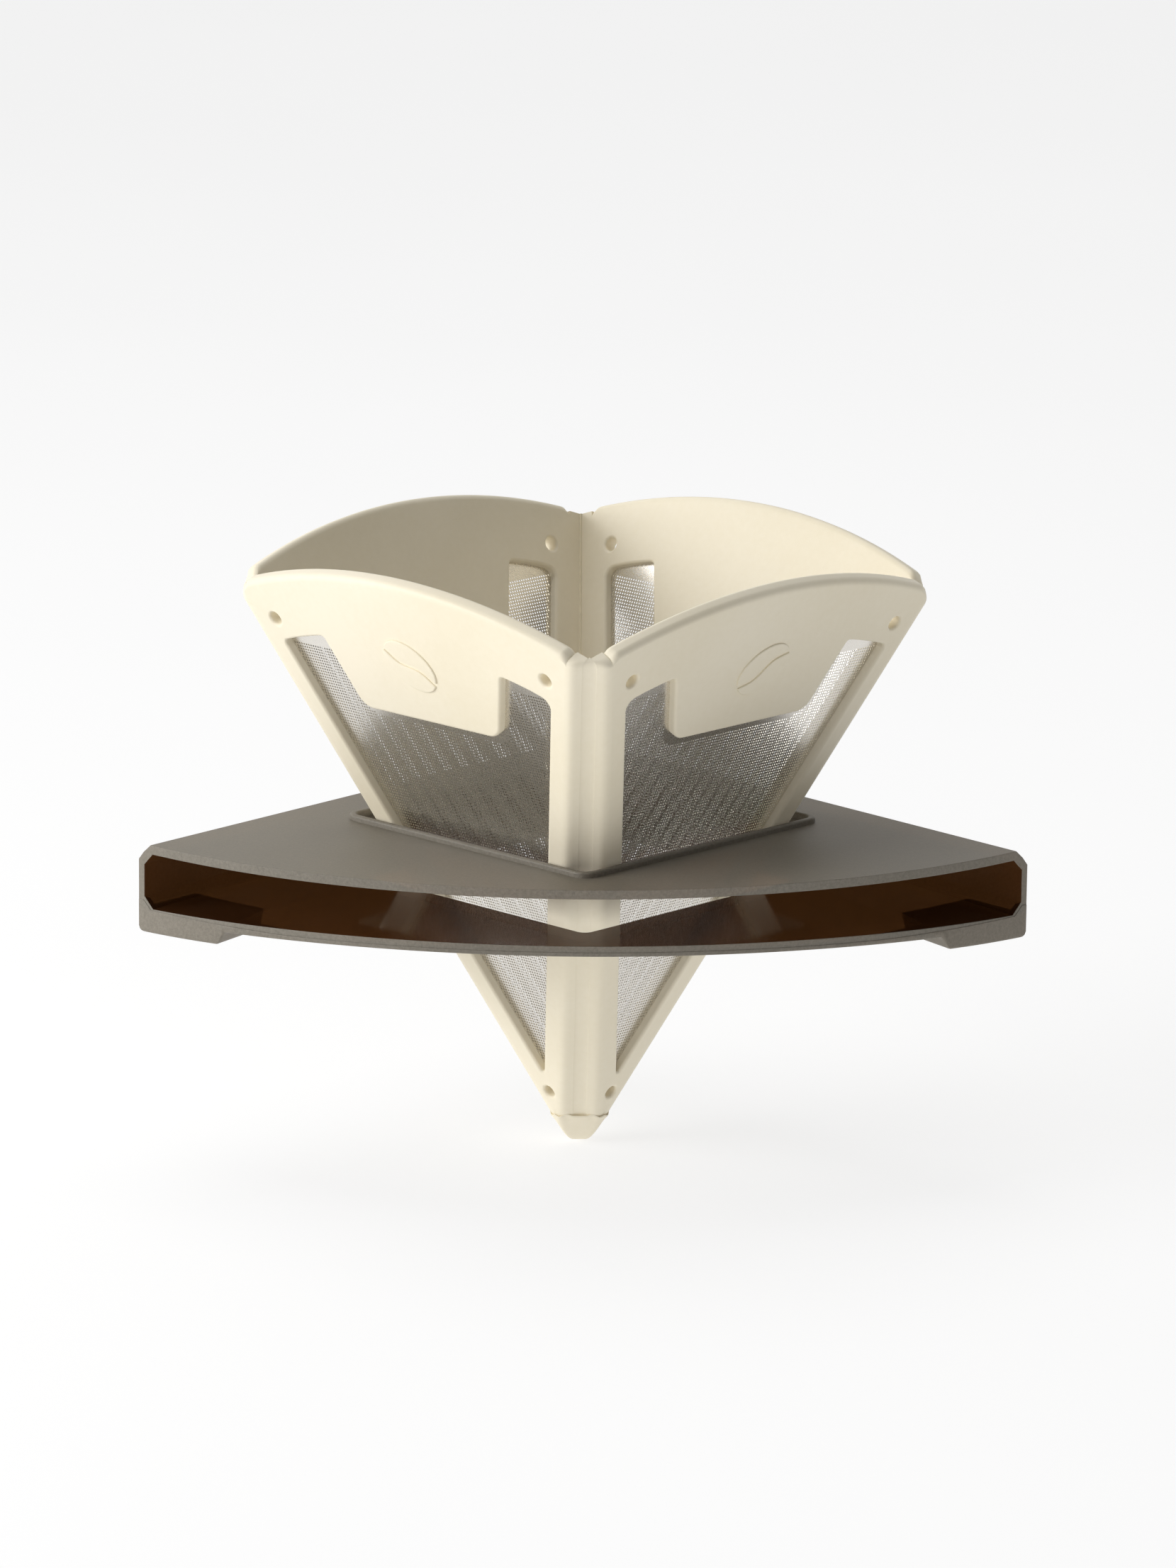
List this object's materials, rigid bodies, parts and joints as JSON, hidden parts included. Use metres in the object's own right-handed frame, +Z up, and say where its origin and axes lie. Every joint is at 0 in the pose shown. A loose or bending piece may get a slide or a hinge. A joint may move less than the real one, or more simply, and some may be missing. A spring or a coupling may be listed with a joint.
{
  "type": "folding pour-over strainer with storage case",
  "caption": "Open four-sided strainer cone of cream elastomer panels with perforated steel plates, standing in a flat smoky sector-shaped case; folds flat along its creases.",
  "frame": {"origin": "lowest point of the cone's tip, on the cone's axis, at the centre of the model's footprint", "axes": "+Z up along the cone's axis; -Y to the front, the side of the case with the curved mouth; +X to the right, the longest side"},
  "size_m": [0.1378, 0.1076, 0.0972],
  "materials": {
    "cream_elastomer": "satin, fine moulded surface, warm cream",
    "filter_steel": "thin stainless sheet with a close square grid of tiny holes and a plain margin",
    "smoky_plastic": "translucent smoky grey-brown with a fine frosted grain outside, smoother and browner inside"
  },
  "bodies": {
    "case": {"case_sleeve": "smoky_plastic"},
    "filter_core": {"tip_boot": "cream_elastomer"},
    "crease_front": {"crease_web_front": "cream_elastomer"},
    "crease_back": {"crease_web_back": "cream_elastomer"},
    "panel_front_left": {"panel_frame_front_left": "cream_elastomer", "filter_plate_front_left": "filter_steel", "crease_leaf_front_left": "cream_elastomer"},
    "panel_front_right": {"panel_frame_front_right": "cream_elastomer", "filter_plate_front_right": "filter_steel", "crease_leaf_front_right": "cream_elastomer"},
    "panel_back_left": {"panel_frame_back_left": "cream_elastomer", "filter_plate_back_left": "filter_steel", "crease_leaf_back_left": "cream_elastomer"},
    "panel_back_right": {"panel_frame_back_right": "cream_elastomer", "filter_plate_back_right": "filter_steel", "crease_leaf_back_right": "cream_elastomer"}
  },
  "joints": [
    {"name": "filter_lift", "type": "slide", "parent": "case", "child": "filter_core", "axis": [0, 0, 1], "range_m": [0, 0.06], "deforming": ["tip_boot"]},
    {"name": "front_crease_lean", "type": "hinge", "parent": "filter_core", "child": "crease_front", "pos_m": [0, 0, 0.00025], "axis": [-1, 0, 0], "range_deg": [0, 30.35], "deforming": ["crease_web_front"]},
    {"name": "back_crease_lean", "type": "hinge", "parent": "filter_core", "child": "crease_back", "pos_m": [0, 0, 0.00025], "axis": [1, 0, 0], "range_deg": [0, 30.35], "deforming": ["crease_web_back"]},
    {"name": "front_left_swing", "type": "hinge", "parent": "crease_front", "child": "panel_front_left", "pos_m": [0, 0, 0.00025], "axis": [0, -0.5051, 0.8631], "range_deg": [0, 40.81], "deforming": ["crease_leaf_front_left"]},
    {"name": "front_right_swing", "type": "hinge", "parent": "crease_front", "child": "panel_front_right", "pos_m": [0, 0, 0.00025], "axis": [0, 0.5051, -0.8631], "range_deg": [0, 40.81], "deforming": ["crease_leaf_front_right"]},
    {"name": "back_left_swing", "type": "hinge", "parent": "crease_back", "child": "panel_back_left", "pos_m": [0, 0, 0.00025], "axis": [0, -0.5051, -0.8631], "range_deg": [0, 40.81], "deforming": ["crease_leaf_back_left"]},
    {"name": "back_right_swing", "type": "hinge", "parent": "crease_back", "child": "panel_back_right", "pos_m": [0, 0, 0.00025], "axis": [0, 0.5051, 0.8631], "range_deg": [0, 40.81], "deforming": ["crease_leaf_back_right"]}
  ],
  "couplings": [
    {"joint": "front_crease_lean", "follows": "filter_lift", "rad_per_m": 8.8246},
    {"joint": "back_crease_lean", "follows": "filter_lift", "rad_per_m": 8.8246},
    {"joint": "front_left_swing", "follows": "filter_lift", "rad_per_m": 11.867},
    {"joint": "front_right_swing", "follows": "filter_lift", "rad_per_m": 11.867},
    {"joint": "back_left_swing", "follows": "filter_lift", "rad_per_m": 11.867},
    {"joint": "back_right_swing", "follows": "filter_lift", "rad_per_m": 11.867}
  ]
}
